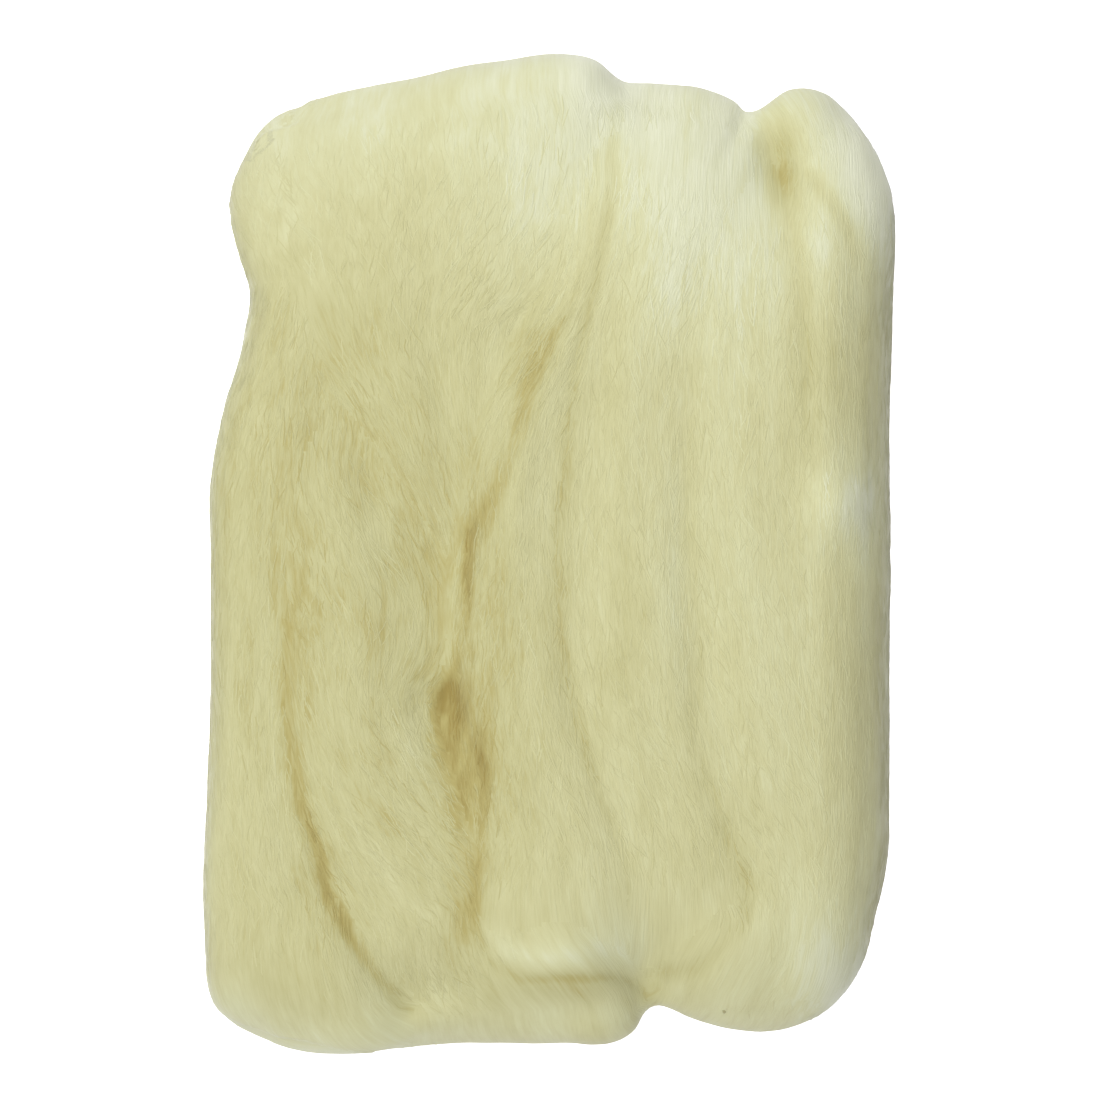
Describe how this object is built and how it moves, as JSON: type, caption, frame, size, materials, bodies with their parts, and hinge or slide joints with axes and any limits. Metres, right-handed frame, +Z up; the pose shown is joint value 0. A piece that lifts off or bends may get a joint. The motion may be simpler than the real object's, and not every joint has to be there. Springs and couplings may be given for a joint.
{
  "type": "wool roving",
  "caption": "Undyed combed wool roving, one long loose rope of fibre wound flat into a small oblong bundle with rounded ends, for felting, spinning and craft work.",
  "frame": {"origin": "on the surface that the bundle lies on, under the middle of its bounding box", "axes": "+X to the right across the bundle, +Y along the fibres towards the end with the three rounded bends, +Z up, out of the face with the wide fan of fibre"},
  "size_m": [0.11, 0.16, 0.038],
  "materials": {
    "wool": "matte undyed wool, pale cream yellow, with fine soft fibres combed side by side"
  },
  "bodies": {
    "root": {"roving": "wool"}
  },
  "joints": []
}
